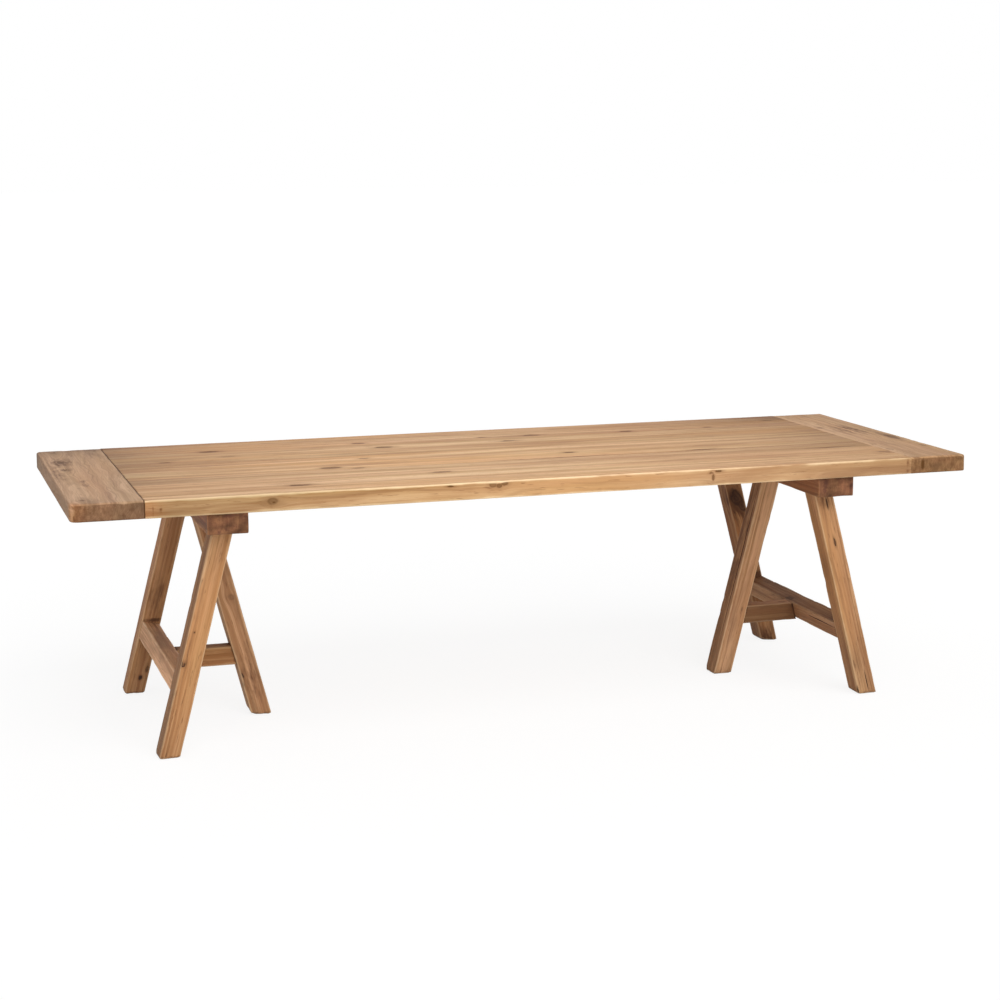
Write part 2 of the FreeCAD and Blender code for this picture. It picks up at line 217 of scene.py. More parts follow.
def timber(low, high, along, steps, crowd, arris, seed,
           knots=(), cracks=(), stains=(), pockets=(), uneven=1.0):
    """One squared timber: a block on grid lines, arrises rounded by a wandering radius, faces uneven.

    The grain runs along one axis. The arris radii are for the edges along x, y and z, each a number or a
    function of the block's points. Cracks and knots are sunk along the normals. Returns the surface, with
    the fields that the finish reads: the place in the log, the distances to knots and cracks, the pale
    arrises (scuffed, with a painted highlight), the end grain, and the marked stains, some of which are
    painted contact shade.
    """
    low, high = np.array(low, float), np.array(high, float)
    axes = []
    for axis in range(3):
        narrow = [mark for mark in stains if mark[axis + 3] < NARROW_STAIN]
        extra = mark_lines([*knots, *cracks, *narrow], axis) + pocket_lines(pockets, axis)
        axes.append(grid_lines(low[axis], high[axis], steps[axis], crowd, extra))
    box, quads = block(*axes)
    inset = np.minimum(box - low, high - box)
    points, edge = box, np.zeros(len(box))
    for axis, radius in enumerate(arris):
        pair = ((axis + 1) % 3, (axis + 2) % 3)
        radius = radius(box) if callable(radius) else np.full(len(box), radius)
        wander = WANDER * (waves(box, (WANDER_LENGTH,) * 3, seed + axis) - 0.5)
        nick = NICK * np.clip(waves(box, (NICK_LENGTH,) * 3, seed + axis + NICK_DRAW) - NICK_START, 0, 1)
        worn_radius = radius * (1 + uneven * (wander + nick))
        points = rounded(points, low, high, pair, np.maximum(worn_radius, LEAST_RADIUS))
        near = 1 - inset[:, pair].max(1) / WEAR_AND_HIGHLIGHT_REACH
        edge = np.maximum(edge, np.where(radius > WEAR_AND_HIGHLIGHT_ARRIS, near, 0))
    normals = vertex_normals(points, quads)
    lengths = np.full(3, HOLLOW_ACROSS)
    lengths[along] = HOLLOW_ALONG
    crack, crack_depth = nearness(box, cracks)
    knot, knot_tone = nearness(box, knots)
    hollow = FACE_HOLLOW * uneven * np.clip(waves(box, lengths, seed + HOLLOW_DRAW), 0, 1)
    hollow += crack_depth * np.clip(CRACK_REACH - crack, 0, 1)
    hollow += KNOT_HOLLOW * np.clip(KNOT_REACH - knot, 0, 1)
    points = np.clip(points - normals * hollow[:, None], low, high)
    for pocket in pockets:
        points = sunk(points, box, low, high, pocket)
    stain, stain_tone = nearness(box, stains)
    fields = {
        "grain": grain_field(box, along, low, high, seed, knots),
        "knots": np.stack([knot, knot_tone, crack], 1),
        "wear_and_painted_light": np.stack([edge, np.abs(normals[:, along]), stain_tone * np.exp(-stain * stain)], 1),
    }
    return points, quads, fields


PITH_SCATTER = 0.05
PITH_AWAY = 0.07
LOG_LENGTH = 40
BEND_REACH = 2.2
BEND = 0.65


def grain_field(box, along, low, high, seed, knots):
    """Place in the log: length along the grain and two distances from the pith, which bend round knots."""
    rng = np.random.default_rng(seed)
    across = ((along + 1) % 3, (along + 2) % 3)
    middle = (low + high) / 2
    pith = [
        middle[k] + rng.uniform(-PITH_SCATTER, PITH_SCATTER) - PITH_AWAY * j for j, k in enumerate(across)
    ]
    field = np.stack([box[:, along], box[:, across[0]] - pith[0], box[:, across[1]] - pith[1]], 1)
    for mark in knots:
        apart = box - np.array(mark[0:3])
        pull = np.exp(-((apart / (BEND_REACH * np.array(mark[3:6]))) ** 2).sum(1))
        for column, axis in enumerate(across):
            field[:, column + 1] -= BEND * apart[:, axis] * pull
    field[:, 0] += rng.uniform(0, LOG_LENGTH)
    return field


def joined(*surfaces):
    """Several closed surfaces as one mesh, with their fields in the same order."""
    points, quads, fields, count = [], [], {}, 0
    for one_points, one_quads, one_fields in surfaces:
        points.append(one_points)
        quads.append(one_quads + count)
        count += len(one_points)
        for name, values in one_fields.items():
            fields.setdefault(name, []).append(values)
    return np.concatenate(points), np.concatenate(quads), {k: np.concatenate(v) for k, v in fields.items()}


def in_scene(name, data):
    """New object of the scene for a mesh, a lamp or a camera."""
    made = bpy.data.objects.new(name, data)
    bpy.context.scene.collection.objects.link(made)
    return made


def wooden_piece(node, body, surface, tint, finish):
    """Smooth mesh of a surface with its fields and tint, in place of the node of the same name."""
    points, quads, fields = surface
    mesh = bpy.data.meshes.new(node + "_wood")
    mesh.vertices.add(len(points))
    mesh.vertices.foreach_set("co", points.astype(np.float32).ravel())
    mesh.loops.add(quads.size)
    mesh.loops.foreach_set("vertex_index", quads.astype(np.int32).ravel())
    mesh.polygons.add(len(quads))
    mesh.polygons.foreach_set("loop_start", np.arange(0, quads.size, 4, dtype=np.int32))
    mesh.update(calc_edges=True)
    mesh.shade_smooth()
    fields = {**fields, "tint": np.broadcast_to(tint, points.shape)}
    for name, values in fields.items():
        layer = mesh.attributes.new(name, "FLOAT_VECTOR", "POINT")
        layer.data.foreach_set("vector", values.astype(np.float32).ravel())
    mesh.materials.append(finish)
    piece = in_scene(node + "_wood", mesh)
    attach(piece, body)
    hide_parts(node)


NOISE_ROUGHNESS = 0.6


class Wire:
    """A socket of a material: arithmetic on it adds Math nodes, and node() adds any other node."""

    def __init__(self, tree, socket=None):
        self.tree = tree
        self.socket = socket

    def node(self, kind, settings, inputs, output=0):
        """Add a node of a type, set its settings, fill or link its sockets, and give one of its outputs."""
        made = self.tree.nodes.new("ShaderNode" + kind)
        for name, value in settings.items():
            setattr(made, name, value)
        for name, value in inputs.items():
            if isinstance(value, Wire):
                self.tree.links.new(value.socket, made.inputs[name])
            else:
                made.inputs[name].default_value = value
        return Wire(self.tree, made.outputs[output] if made.outputs else None)

    def math(self, operation, first, second=0.0):
        return self.node("Math", {"operation": operation}, {0: first, 1: second})

    def __add__(self, other):
        return self.math("ADD", self, other)

    def __radd__(self, other):
        return self.math("ADD", other, self)

    def __sub__(self, other):
        return self.math("SUBTRACT", self, other)

    def __rsub__(self, other):
        return self.math("SUBTRACT", other, self)

    def __mul__(self, other):
        return self.math("MULTIPLY", self, other)

    def __rmul__(self, other):
        return self.math("MULTIPLY", other, self)

    def __pow__(self, other):
        return self.math("POWER", self, other)

    def sine(self):
        return self.math("SINE", self)

    def between(self, low, high):
        """0 at low and 1 at high, with a smooth rise or fall."""
        return self.node("MapRange", {"interpolation_type": "SMOOTHSTEP"}, {0: self, 1: low, 2: high})

    def mix(self, first, second):
        """Colour between two others, with this value as the share of the second."""
        return self.node("Mix", {"data_type": "RGBA"}, {0: self, 6: first, 7: second}, 2)

    def parts(self):
        """The three numbers of a vector."""
        split = self.node("SeparateXYZ", {}, {0: self})
        return [Wire(self.tree, socket) for socket in split.socket.node.outputs]

    def noise(self, scale, detail):
        """Cloudy noise of 0 to 1 on this vector, stretched by one scale for each axis."""
        stretched = self.node("VectorMath", {"operation": "MULTIPLY"}, {0: self, 1: scale})
        return self.node("TexNoise", {}, {
            "Vector": stretched, "Scale": 1.0, "Detail": detail, "Roughness": NOISE_ROUGHNESS,
        })


def fresh(owner):
    """Start of the wires in the emptied node tree of a material or of the world."""
    owner.use_nodes = True
    owner.node_tree.nodes.clear()
    return Wire(owner.node_tree)


def coat(start, shade, rough, height, bumpiness, bump_depth, sheen):
    """Last nodes of a material: its colour and roughness, bumps of a depth in metres, and its sheen."""
    bump = start.node("Bump", {}, {
        "Strength": bumpiness, "Distance": bump_depth, "Height": height,
    }, "Normal")
    surface = start.node("BsdfPrincipled", {}, {
        "Base Color": shade, "Roughness": rough, "Normal": bump, "Specular IOR Level": sheen,
    })
    start.node("OutputMaterial", {}, {"Surface": surface})


def colour(red, green, blue):
    """Linear colour of a screen colour given as 0 to 255."""
    return tuple(((c / 255 + 0.055) / 1.055) ** 2.4 for c in (red, green, blue)) + (1.0,)


# patterns of the wood, in cells per metre along the log and on the two axes across it
SWAY = (0.9, 3.0, 3.0)
FIGURE = (4.5, 9.0, 9.0)
STREAK_ALONG = 0.8
THREAD = (2.6, 120.0, 120.0)
GLOW = (1.1, 7.0, 7.0)
FIBRE = (14.0, 420.0, 420.0)
DASH = (19.0, 250.0, 250.0)
BLOT = (3.4, 13.0, 13.0)
TEAR = (24.0, 90.0, 90.0)
RUB_AND_HIGHLIGHT = (9.0, 30.0, 30.0)
SAWN = (0.0, 55.0, 110.0)
HUE = (1.3, 18.0, 18.0)
BAND_ALONG = 0.7
BAND_ACROSS = 4.0
RING_TURNS = 1150.0

# late-wood lines in units of the growth bands, and the strengths that are the same in every wood
LATE_LINES = (2.4, 5.0, 1.0)
STREAK_SHARE = 0.7
GLOW_SHARE = 0.55
FIBRE_SHARE = 0.38
STAIN_CONTRAST = 2.4
KNOT_TORN = 1.8
KNOT_BLOTCHED = 1.2
HALO_SHARE = 0.5
SWIRL_TURNS = 9.0
SWIRL_WANDER = 4.0
SWIRL_DEPTH = 0.1
RUB_AND_HIGHLIGHT_REACH = 1.1
RUB_AND_HIGHLIGHT_BROKEN = 1.3
SAWN_SHARE = 0.5
RING_WANDER = 5.0
RING_SHARE = 0.3
SPLIT_RAGGED = 0.6
SPLIT_SHARE = 0.9
HUE_TURN = 0.02
HUE_SCATTER = 0.022
ROUGHNESS = 0.58
FIBRE_ROUGHNESS = 0.16
RUBBED_SMOOTHNESS = 0.06


def wood_finish(name, pale, brown, honey, stain, knot, worn_and_highlight, bands, wander, curl, streaks,
                threads, lines, cloud, specks, rub_and_highlight, ends):
    """Brushed old softwood: growth bands, late-wood lines, dashes, stains, knots, cracks, and pale arrises
    that are scuffed and carry a painted highlight.

    Bands are per metre from the pith, wander by that many metres over a long stretch and curl over a short
    one; streaks are per metre on the two axes across the log. Threads, lines, cloud, specks, the arris
    strength and ends are the strengths of the fine streaks, dark lines, stains, short dashes, pale arrises
    (scuffed, with a painted highlight) and end grain.
    """
    material = bpy.data.materials.new(name)
    start = fresh(material)
    grain, knots, wear_and_painted_light, tint = [
        start.node("Attribute", {"attribute_name": field}, {}, "Vector")
        for field in ("grain", "knots", "wear_and_painted_light", "tint")
    ]
    length, across, up = grain.parts()
    knot_distance, knot_tone, crack = knots.parts()
    edge, end_grain, stain_and_shade = wear_and_painted_light.parts()
    lightness, yellowness, greyness = tint.parts()

    # growth bands and late-wood lines on the distance from the pith, which wanders along the log
    sway = grain.noise(SWAY, 2.0)
    figure = grain.noise(FIGURE, 2.0)
    radius = (across * across + up * up) ** 0.5 + (sway - 0.5) * wander + (figure - 0.5) * curl
    log = start.node("CombineXYZ", {}, {0: length * BAND_ALONG, 1: radius * bands, 2: across * BAND_ACROSS})
    band = log.noise((1.0, 1.0, 1.0), 4.0)
    late = log.noise(LATE_LINES, 3.0).between(0.50, 0.72)
    shade = band.between(0.34, 0.64).mix(pale, brown)
    streak = grain.noise((STREAK_ALONG, *streaks), 4.0)
    shade = (streak.between(0.48, 0.66) * STREAK_SHARE).mix(shade, brown)
    shade = (streak.between(0.46, 0.32) * STREAK_SHARE).mix(shade, pale)
    thread = grain.noise(THREAD, 3.0)
    shade = (thread.between(0.52, 0.68) * threads).mix(shade, brown)
    shade = (thread.between(0.48, 0.32) * threads).mix(shade, pale)
    glow = grain.noise(GLOW, 2.0).between(0.45, 0.70)
    shade = (glow * GLOW_SHARE).mix(shade, honey)
    shade = (late * lines).mix(shade, stain)

    # fine fibres, short dark dashes, cloudy stains and marked stains (some of them painted contact shade),
    # drawn out along the grain
    fibre = grain.noise(FIBRE, 2.0)
    shade = (fibre.between(0.48, 0.68) * FIBRE_SHARE).mix(shade, brown)
    dash = grain.noise(DASH, 2.0).between(0.63, 0.70)
    shade = (dash * specks).mix(shade, stain)
    blot = grain.noise(BLOT, 4.0)
    shade = (blot.between(0.50, 0.74) * cloud).mix(shade, stain)
    tear = grain.noise(TEAR, 3.0)
    patchy = stain_and_shade + (blot + tear + streak - 1.5) * stain_and_shade * STAIN_CONTRAST
    shade = patchy.between(0.15, 0.85).mix(shade, stain)

    # knots with a dark ragged heart, in a browner halo
    ragged = knot_distance + (tear - 0.5) * KNOT_TORN + (blot - 0.5) * KNOT_BLOTCHED
    halo = ragged.between(2.4, 0.8) * knot_tone
    shade = (halo * HALO_SHARE).mix(shade, stain)
    swirl = (ragged * SWIRL_TURNS + blot * SWIRL_WANDER).sine() * SWIRL_DEPTH + (1 - SWIRL_DEPTH)
    core = ragged.between(1.15, 0.65) * knot_tone
    shade = (core * swirl).mix(shade, knot)

    # pale arrises, rubbed and with a painted highlight, sawn end grain with rings, and dark cracks
    rubbed_and_highlit = (edge * RUB_AND_HIGHLIGHT_REACH + (grain.noise(RUB_AND_HIGHLIGHT, 3.0) - 0.5) * RUB_AND_HIGHLIGHT_BROKEN).between(0.45, 1.0)
    shade = (rubbed_and_highlit * rub_and_highlight).mix(shade, worn_and_highlight)
    cut_end = end_grain.between(0.6, 0.9)
    sawn = grain.noise(SAWN, 4.0).between(0.30, 0.72) * SAWN_SHARE
    rings = (radius * RING_TURNS + blot * RING_WANDER).sine().between(-0.6, 0.9)
    shade = (cut_end * ends).mix(shade, (rings * RING_SHARE).mix(sawn.mix(stain, brown), stain))
    split = (crack + (blot - 0.5) * SPLIT_RAGGED).between(1.1, 0.45)
    shade = (split * SPLIT_SHARE).mix(shade, knot)

    # tint of the piece, which also carries the painted light and shade set on each piece, with a slight
    # change of hue from place to place
    hue = 0.5 + yellowness * HUE_TURN + (grain.noise(HUE, 2.0) - 0.5) * HUE_SCATTER
    shade = shade.node("HueSaturation", {}, {
        "Hue": hue, "Saturation": 1.0 - greyness, "Value": 1.0 + lightness, "Color": shade,
    })
    rough = ROUGHNESS + fibre * FIBRE_ROUGHNESS - rubbed_and_highlit * RUBBED_SMOOTHNESS
    height = fibre * 0.5 + late * -0.3 + band * 0.3 - dash * 0.4 - core * 0.3 - split
    coat(start, shade, rough, height, bumpiness=0.55, bump_depth=0.0009, sheen=0.13)
    return material


trestle_pine = wood_finish(
    "trestle_pine", pale=colour(204, 158, 116), brown=colour(156, 110, 74), honey=colour(196, 140, 92),
    stain=colour(106, 71, 48), knot=colour(62, 40, 30), worn_and_highlight=colour(220, 182, 142),
    bands=45, wander=0.035, curl=0.012, streaks=(34.0, 34.0),
    threads=0.75, lines=0.40, cloud=0.45, specks=0.55, rub_and_highlight=0.6, ends=0.5,
)

# dirt and painted contact shade at a leg's two ends, at the floor and under the beam, which goes all round
# it
ALL_ROUND = 0.2
SOLE_DIRT_AND_SHADOW = 0.008
SOLE_DIRT_AND_SHADOW_TONE = 0.8
SHOULDER_DIRT_AND_SHADE = 0.006
SHOULDER_DIRT_AND_SHADE_TONE = 0.5


def lean(spread):
    """Angle from upright of a leg whose foot stands out by the spread."""
    return math.atan2(abs(spread), LEG_HEIGHT)


def leg_x(side, spread, height):
    """Middle of a leg along the table: out by the spread at the floor, in the trestle's middle on top."""
    return side * (TRESTLE_X + spread * (1 - height / LEG_HEIGHT))


def level_cut(width, depth, spread):
    """Half sizes, along and across the table, of a level cut through a leg or its tenon."""
    return np.array([width / math.cos(lean(spread)) / 2, depth / 2])


def leg(side, y, spread, worn_foot, seed, knots, cracks, stains):
    """Upright timber and its tenon, sheared along the table: the foot stands out and the ends stay level."""
    wide, deep = level_cut(LEG_WIDTH, LEG_DEPTH, spread)
    # dirt with a painted contact shadow at the foot, and painted shade under the beam
    dirt_and_contact_shade = [
        (0.0, 0.0, 0.0, ALL_ROUND, ALL_ROUND, SOLE_DIRT_AND_SHADOW, SOLE_DIRT_AND_SHADOW_TONE),
        (0.0, 0.0, LEG_HEIGHT, ALL_ROUND, ALL_ROUND, SHOULDER_DIRT_AND_SHADE, SHOULDER_DIRT_AND_SHADE_TONE),
    ]

    def leg_ends(box):
        """Radius of the edges round the two ends: a foot eased broadly by use, most on its left, and a sharp
        shoulder.
        """
        rightwards = np.clip(box[:, 0] / wide + 0.5, 0, 1)
        foot = worn_foot + (FOOT_ARRIS - worn_foot) * rightwards
        return np.where(box[:, 2] < LEG_HEIGHT / 2, foot, SHOULDER_EASE)

    post = timber((-wide, -deep, 0), (wide, deep, LEG_HEIGHT), Z, LEG_STEPS, FOOT_CROWD,
                  (leg_ends, leg_ends, LEG_ARRIS), seed, knots, cracks, [*stains, *dirt_and_contact_shade])
    narrow, thin = level_cut(*LEG_TENON, spread)
    tenon = timber((-narrow, -thin, LEG_HEIGHT - TENON_ROOT), (narrow, thin, TENON_TOP), Z, TENON_STEPS,
                   SHOULDER_EASE, (SHOULDER_EASE,) * 3, seed)
    points, quads, fields = joined(post, tenon)
    points[:, 0] += leg_x(side, spread, points[:, 2])
    points[:, 1] += y
    return points, quads, fields


FRONT = -LEG_DEPTH / 2
LEG_SEEDS = {
    "left_front_leg": 11, "left_back_leg": 21, "left_inner_leg": 31,
    "right_front_leg": 111, "right_back_leg": 121, "right_inner_leg": 131,
}
LEG_KNOTS = {
    "left_back_leg": [
        (0.006, FRONT, 0.052, 0.005, 0.01, 0.006, 1.0), (0.022, FRONT, 0.079, 0.006, 0.02, 0.013, 0.6),
    ],
    "left_front_leg": [
        (-0.0275, FRONT, 0.2735, 0.003, 0.01, 0.008, 1.0),
        (-0.018, FRONT, 0.2725, 0.003, 0.01, 0.009, 1.0),
        (-0.0225, FRONT, 0.266, 0.004, 0.01, 0.003, 0.9),
        (-0.013, FRONT, 0.361, 0.0025, 0.01, 0.003, 0.8), (-0.025, FRONT, 0.508, 0.003, 0.01, 0.006, 0.5),
    ],
    "left_inner_leg": [
        (-0.024, FRONT, 0.128, 0.0035, 0.01, 0.01, 1.0), (-0.029, FRONT, 0.1, 0.0035, 0.01, 0.008, 1.0),
        (0.011, FRONT, 0.371, 0.013, 0.03, 0.014, 0.35),
    ],
    "right_front_leg": [(0.002, FRONT, 0.4945, 0.0035, 0.012, 0.014, 0.9)],
    "right_back_leg": [
        (-0.003, FRONT, 0.511, 0.02, 0.04, 0.028, 0.9), (0.016, FRONT, 0.48, 0.012, 0.03, 0.02, 0.8),
    ],
    "right_inner_leg": [(0.012, FRONT, 0.210, 0.004, 0.010, 0.012, 0.4)],
}
LEG_CRACKS = {
    "right_front_leg": [
        (0.0045, FRONT, 0.615, 0.0035, 0.014, 0.024, 0.002),
        (-0.019, FRONT, 0.04, 0.002, 0.014, 0.04, 0.0015),
        (0.0055, FRONT, 0.044, 0.002, 0.014, 0.045, 0.0015),
        (-0.03, FRONT, 0.014, 0.002, 0.014, 0.02, 0.0015),
    ],
    "right_inner_leg": [(-0.031, -0.016, 0.400, 0.010, 0.0036, 0.34, 0.002)],
}
# real stains and dirt, with painted shade where rails meet the legs: on the back legs' fronts just above the
# cross stretcher and on the left inner leg's left face at the middle stretcher; the broad low mark on the
# left inner leg's front adds to the painted shade at its foot
LEG_STAINS_AND_SHADE = {
    "right_back_leg": [
        (0.0, FRONT, 0.5, 0.05, 0.06, 0.09, 0.9), (0.0, FRONT, 0.0, 0.05, 0.08, 0.06, 0.7),
        (0.0, FRONT, 0.24, 0.05, 0.02, 0.014, 1.0),
    ],
    "right_inner_leg": [
        (-0.03, 0.0, 0.45, 0.02, 0.06, 0.25, 0.5), (0.0, FRONT, 0.0, 0.05, 0.08, 0.03, 0.5),
    ],
    "left_inner_leg": [
        (0.0, FRONT, 0.12, 0.04, 0.05, 0.12, 0.55), (-0.031, 0.0, 0.19, 0.008, 0.05, 0.05, 0.8),
    ],
    "left_back_leg": [
        (0.0, FRONT, 0.31, 0.05, 0.03, 0.09, 0.4), (0.0, FRONT, 0.234, 0.05, 0.02, 0.008, 0.7),
    ],
    "right_front_leg": [(0.0, FRONT, 0.62, 0.03, 0.04, 0.03, 0.5)],
}

# a tint is a change of lightness, of hue towards yellow, and of greyness
LEG_TINTS = {
    "left_front_leg": (-0.03, 0.0, -0.02),
    "left_back_leg": (-0.15, 0.0, 0.0),
    "left_inner_leg": (0.0, 0.1, 0.02),
    "right_front_leg": (-0.05, 0.1, 0.0),
    "right_back_leg": (-0.28, -0.1, -0.04),
    "right_inner_leg": (0.06, 0.1, 0.04),
}
# painted light and shade by height: the legs are lighter towards the top and darker towards the foot, to
# even out the table top's shadow on them
LEG_PAINTED_LIGHT_BY_HEIGHT = 0.25
# painted shade and painted light on each leg's left face, set leg by leg for how the lamps light that side
LEFT_FACE_PAINTED_LIGHT = {
    "left_front_leg": -0.26, "left_back_leg": 0.28, "right_inner_leg": -0.14, "right_front_leg": 0.10,
}
for trestle, side in SIDES.items():
    for name, (y, spread) in LEGS.items():
        node = trestle + "_" + name
        marks = [group.get(node, ()) for group in (LEG_KNOTS, LEG_CRACKS, LEG_STAINS_AND_SHADE)]
        surface = leg(side, y, spread, WORN_FEET.get(node, FOOT_ARRIS), LEG_SEEDS[node], *marks)
        points = surface[0]
        tint = np.tile(LEG_TINTS[node], (len(points), 1))
        # painted light up the leg and painted shade at the foot
        tint[:, 0] += LEG_PAINTED_LIGHT_BY_HEIGHT * (points[:, 2] / LEG_HEIGHT - 0.5)
        # painted light and shade on the left face only
        from_axis = points[:, 0] - leg_x(side, spread, points[:, 2])
        on_left_face = np.clip((-from_axis - LEG_WIDTH / 2) / LEG_ARRIS + 1, 0, 1)
        tint[:, 0] += LEFT_FACE_PAINTED_LIGHT.get(node, 0) * on_left_face
        wooden_piece(node, trestle + "_trestle", surface, tint, trestle_pine)

# Cross stretchers. One square pine rail between the outer legs of each trestle, a third of the way up and
# tilted with them, held by tenons in the legs.
CROSS_SIZE = 0.056
CROSS_CENTRE = 0.200
CROSS_HALF = LEG_Y - LEG_DEPTH / 2
CROSS_STEPS = (0.005, 0.008, 0.005)
RAIL_ARRIS = 0.004
RAIL_CROWD = RAIL_ARRIS * 1.3
BUTT_EASE = 0.0004
# dirt and painted contact shade in a narrow band round each end of a rail, where it meets a leg
BUTT_DIRT_AND_SHADE = 0.007
BUTT_DIRT_AND_SHADE_TONE = 0.6
CROSS_SEEDS = {"left": 301, "right": 302}
CROSS_KNOTS = {"left": [], "right": [(-0.016, 0.020, 0.028, 0.014, 0.032, 0.010, 0.6)]}
CROSS_CRACKS = {"left": [], "right": [(-0.028, -0.225, 0.008, 0.010, 0.120, 0.0022, 0.0015)]}
CROSS_TINTS = {"left": (0.58, 0.0, 0.08), "right": (-0.14, 0.0, 0.02)}
# dust and painted shade on the upper faces of the cross stretchers, under the table top
CROSS_TOP_DUST_AND_PAINTED_SHADE = {"left": -0.42, "right": -0.34}


def top_tint(points, half_height, tint, shade):
    """Tint of a rail, with the upper face's lightness changed by painted shade and light."""
    upper = np.clip((points[:, 2] - half_height) / RAIL_ARRIS + 1, 0, 1)
    return np.array(tint) + upper[:, None] * np.array([shade, 0.0, 0.0])


for trestle, side in SIDES.items():
    half = np.array([CROSS_SIZE / 2, CROSS_HALF, CROSS_SIZE / 2])
    # dirt and painted contact shade round both ends
    dirt_and_contact_shade = [(0.0, end * CROSS_HALF, 0.0, ALL_ROUND, BUTT_DIRT_AND_SHADE, ALL_ROUND, BUTT_DIRT_AND_SHADE_TONE) for end in (-1, 1)]
    points, quads, fields = timber(
        -half, half, Y, CROSS_STEPS, RAIL_CROWD, (BUTT_EASE, RAIL_ARRIS, BUTT_EASE), CROSS_SEEDS[trestle],
        CROSS_KNOTS[trestle], CROSS_CRACKS[trestle], dirt_and_contact_shade,
    )
    tint = top_tint(points, CROSS_SIZE / 2, CROSS_TINTS[trestle], CROSS_TOP_DUST_AND_PAINTED_SHADE[trestle])
    tilt = np.array(Matrix.Rotation(-side * lean(OUTER_SPREAD), 3, "Y"))
    middle = (leg_x(side, OUTER_SPREAD, CROSS_CENTRE), 0, CROSS_CENTRE)
    surface = (points @ tilt.T + np.array(middle), quads, fields)
    node = trestle + "_cross_stretcher"
    wooden_piece(node, trestle + "_trestle", surface, tint, trestle_pine)

# Middle stretchers. A short pine rail from the middle of each cross stretcher to the inner leg, tenoned into
# both, with its two shoulders cut to the two leans.
MIDDLE_WIDTH = 0.055
MIDDLE_DEPTH = 0.058
MIDDLE_CENTRE = 0.190
MIDDLE_STEPS = (0.008, 0.005, 0.005)
MIDDLE_SEEDS = {"left": 321, "right": 322}
MIDDLE_KNOTS = {"left": [], "right": [(0.985, -0.004, 0.029, 0.016, 0.008, 0.010, 0.35)]}
MIDDLE_TINTS = {"left": (-0.28, 0.0, -0.06), "right": (-0.58, 0.0, 0.0)}
# painted light on the right middle stretcher's upper face and a little painted shade on the left one's, for
# light from above
MIDDLE_TOP_PAINTED_LIGHT = {"left": -0.1, "right": 0.35}
for trestle, side in SIDES.items():
    outer = leg_x(1, OUTER_SPREAD, MIDDLE_CENTRE) - CROSS_SIZE / 2 / math.cos(lean(OUTER_SPREAD))
    inner = leg_x(1, -INNER_SPREAD, MIDDLE_CENTRE) + LEG_WIDTH / 2 / math.cos(lean(INNER_SPREAD))
    low = (inner, -MIDDLE_WIDTH / 2, -MIDDLE_DEPTH / 2)
    high = (outer, MIDDLE_WIDTH / 2, MIDDLE_DEPTH / 2)
    # dirt and painted contact shade at both shoulders
    dirt_and_contact_shade = [(x, 0.0, 0.0, BUTT_DIRT_AND_SHADE, ALL_ROUND, ALL_ROUND, BUTT_DIRT_AND_SHADE_TONE) for x in (inner, outer)]
    points, quads, fields = timber(
        low, high, X, MIDDLE_STEPS, RAIL_CROWD, (RAIL_ARRIS, BUTT_EASE, BUTT_EASE), MIDDLE_SEEDS[trestle],
        MIDDLE_KNOTS[trestle], stains=dirt_and_contact_shade,
    )
    tint = top_tint(points, MIDDLE_DEPTH / 2, MIDDLE_TINTS[trestle], MIDDLE_TOP_PAINTED_LIGHT[trestle])
    share = (points[:, 0] - inner) / (outer - inner)
    slope = (INNER_SPREAD * (1 - share) - OUTER_SPREAD * share) / LEG_HEIGHT
    x = points[:, 0] + slope * points[:, 2]
    points = np.stack([side * x, points[:, 1], points[:, 2] + MIDDLE_CENTRE], 1)
    surface = (points, quads[:, ::side], fields)
    node = trestle + "_middle_stretcher"
    wooden_piece(node, trestle + "_trestle", surface, tint, trestle_pine)

# Beams. A dark heavy pine rail on top of each trestle that carries the table top, mortised right through for
# the three legs, with bare ends that show the sawn end grain.
BEAM_ARRIS = 0.003
BEAM_CROWD = BEAM_ARRIS * 1.3
BEAM_STEPS = (0.006, 0.008, 0.006)
BEAM_HEIGHT = 0.710
MORTISE_PLAY = 0.0003
MORTISE_SHOWN = 0.003
UNDER, UPPER = range(2)
beam_pine = wood_finish(
    "beam_pine", pale=colour(158, 114, 82), brown=colour(124, 86, 62), honey=colour(150, 102, 70),
    stain=colour(88, 58, 46), knot=colour(56, 36, 34), worn_and_highlight=colour(172, 128, 94),
    bands=90, wander=0.03, curl=0.01, streaks=(60.0, 60.0),
    threads=0.7, lines=0.4, cloud=0.5, specks=0.6, rub_and_highlight=0.35, ends=0.5,
)
BEAM_SEEDS = {"left": 341, "right": 342}
# dark stains on the beams' front ends; the thin lines along their lower edge are painted shade
BEAM_STAINS_AND_SHADE = {
    "left": [
        (-0.8735, -0.483, 0.698, 0.012, 0.03, 0.016, 1.0), (-0.91, -0.483, 0.706, 0.05, 0.03, 0.01, 0.9),
        (-0.948, -0.483, 0.655, 0.008, 0.03, 0.008, 0.9), (-0.925, -0.483, 0.663, 0.01, 0.03, 0.01, 0.8),
        (-0.89, -0.483, 0.6505, 0.04, 0.03, 0.003, 0.8),
    ],
    "right": [
        (0.886, -0.483, 0.681, 0.009, 0.04, 0.04, 1.0), (0.975, -0.483, 0.68, 0.009, 0.03, 0.04, 0.9),
        (0.93, -0.483, 0.6505, 0.04, 0.03, 0.003, 0.8),
    ],
}
BEAM_TINT = (0.02, 0.0, -0.06)
